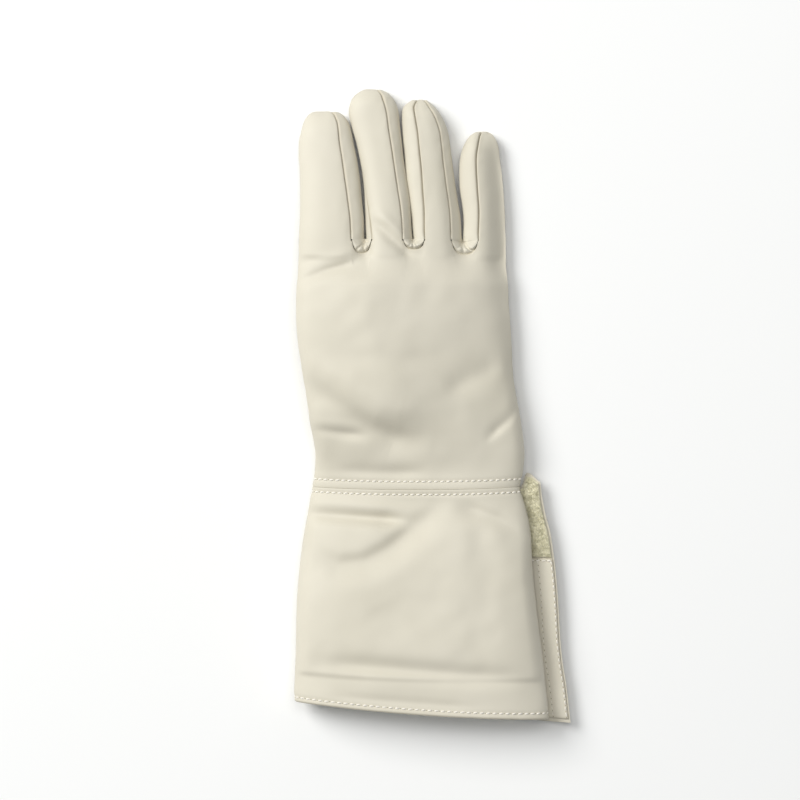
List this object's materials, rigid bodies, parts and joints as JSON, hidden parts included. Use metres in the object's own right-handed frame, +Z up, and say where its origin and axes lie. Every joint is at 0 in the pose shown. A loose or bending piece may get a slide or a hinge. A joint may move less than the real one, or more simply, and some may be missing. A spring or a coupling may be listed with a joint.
{
  "type": "fencing glove",
  "caption": "Right-hand fencing glove with padded back, separate fingers, folded thumb and a flared gauntlet cuff slit and fastened on the little finger side, lying palm down.",
  "frame": {"origin": "middle of the glove's outline on the surface it lies on", "axes": "+Y towards the fingertips, +X towards the little finger side, +Z up from the surface"},
  "size_m": [0.16, 0.3676, 0.0372],
  "materials": {
    "leather": "smooth matte cream synthetic leather",
    "loop_tape": "fuzzy woven loop pile",
    "hook_tape": "stiff woven tape with small hooks"
  },
  "bodies": {
    "root": {"hand_back": "leather", "hand_palm": "leather", "fourchette_index_right": "leather", "fourchette_middle_left": "leather", "fourchette_middle_right": "leather", "fourchette_ring_left": "leather", "fourchette_ring_right": "leather", "fourchette_little_left": "leather", "quirk_index_middle": "leather", "quirk_middle_ring": "leather", "quirk_ring_little": "leather", "thumb": "leather", "gauntlet_back": "leather", "gauntlet_palm": "leather", "slit_facing": "leather", "loop_strip": "loop_tape", "hook_strip": "hook_tape"}
  },
  "joints": []
}
